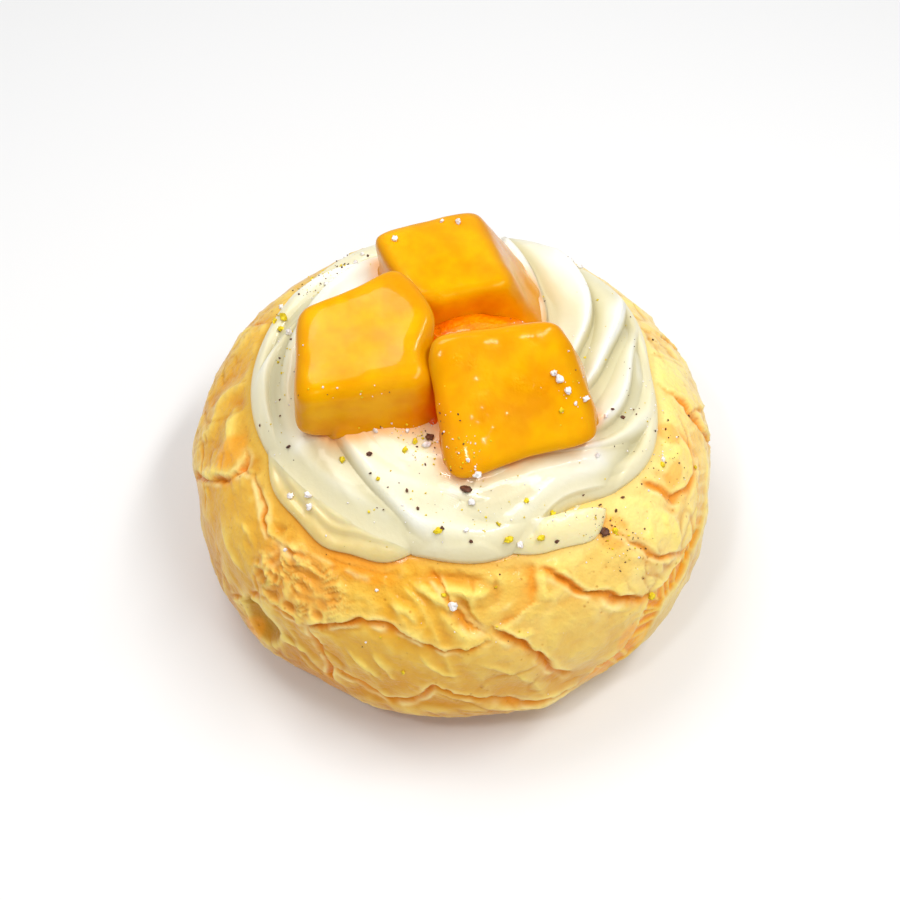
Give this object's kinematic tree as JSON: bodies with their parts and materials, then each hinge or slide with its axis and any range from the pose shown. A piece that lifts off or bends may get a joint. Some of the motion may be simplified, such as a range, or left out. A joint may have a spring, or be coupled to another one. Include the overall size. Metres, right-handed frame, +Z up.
{
  "type": "pineapple bun",
  "caption": "Round sweet bun with a cracked golden crust, topped with custard, piped cream and diced mango pieces.",
  "frame": {"origin": "centre of the bun's flat base, on the surface it rests on", "axes": "+Z up through the crown, -Y towards the front with the two custard lobes, +X to the right of the front"},
  "size_m": [0.1002, 0.1014, 0.0705],
  "materials": {
    "crust": "baked golden crust, faintly glossy",
    "custard": "soft pale custard",
    "cream": "soft piped cream with a low sheen",
    "mango": "wet glazed fruit"
  },
  "bodies": {
    "root": {"bun": "crust", "custard": "custard", "cream": "cream", "mango_back": "mango", "mango_left": "mango", "mango_right": "mango"}
  },
  "joints": []
}
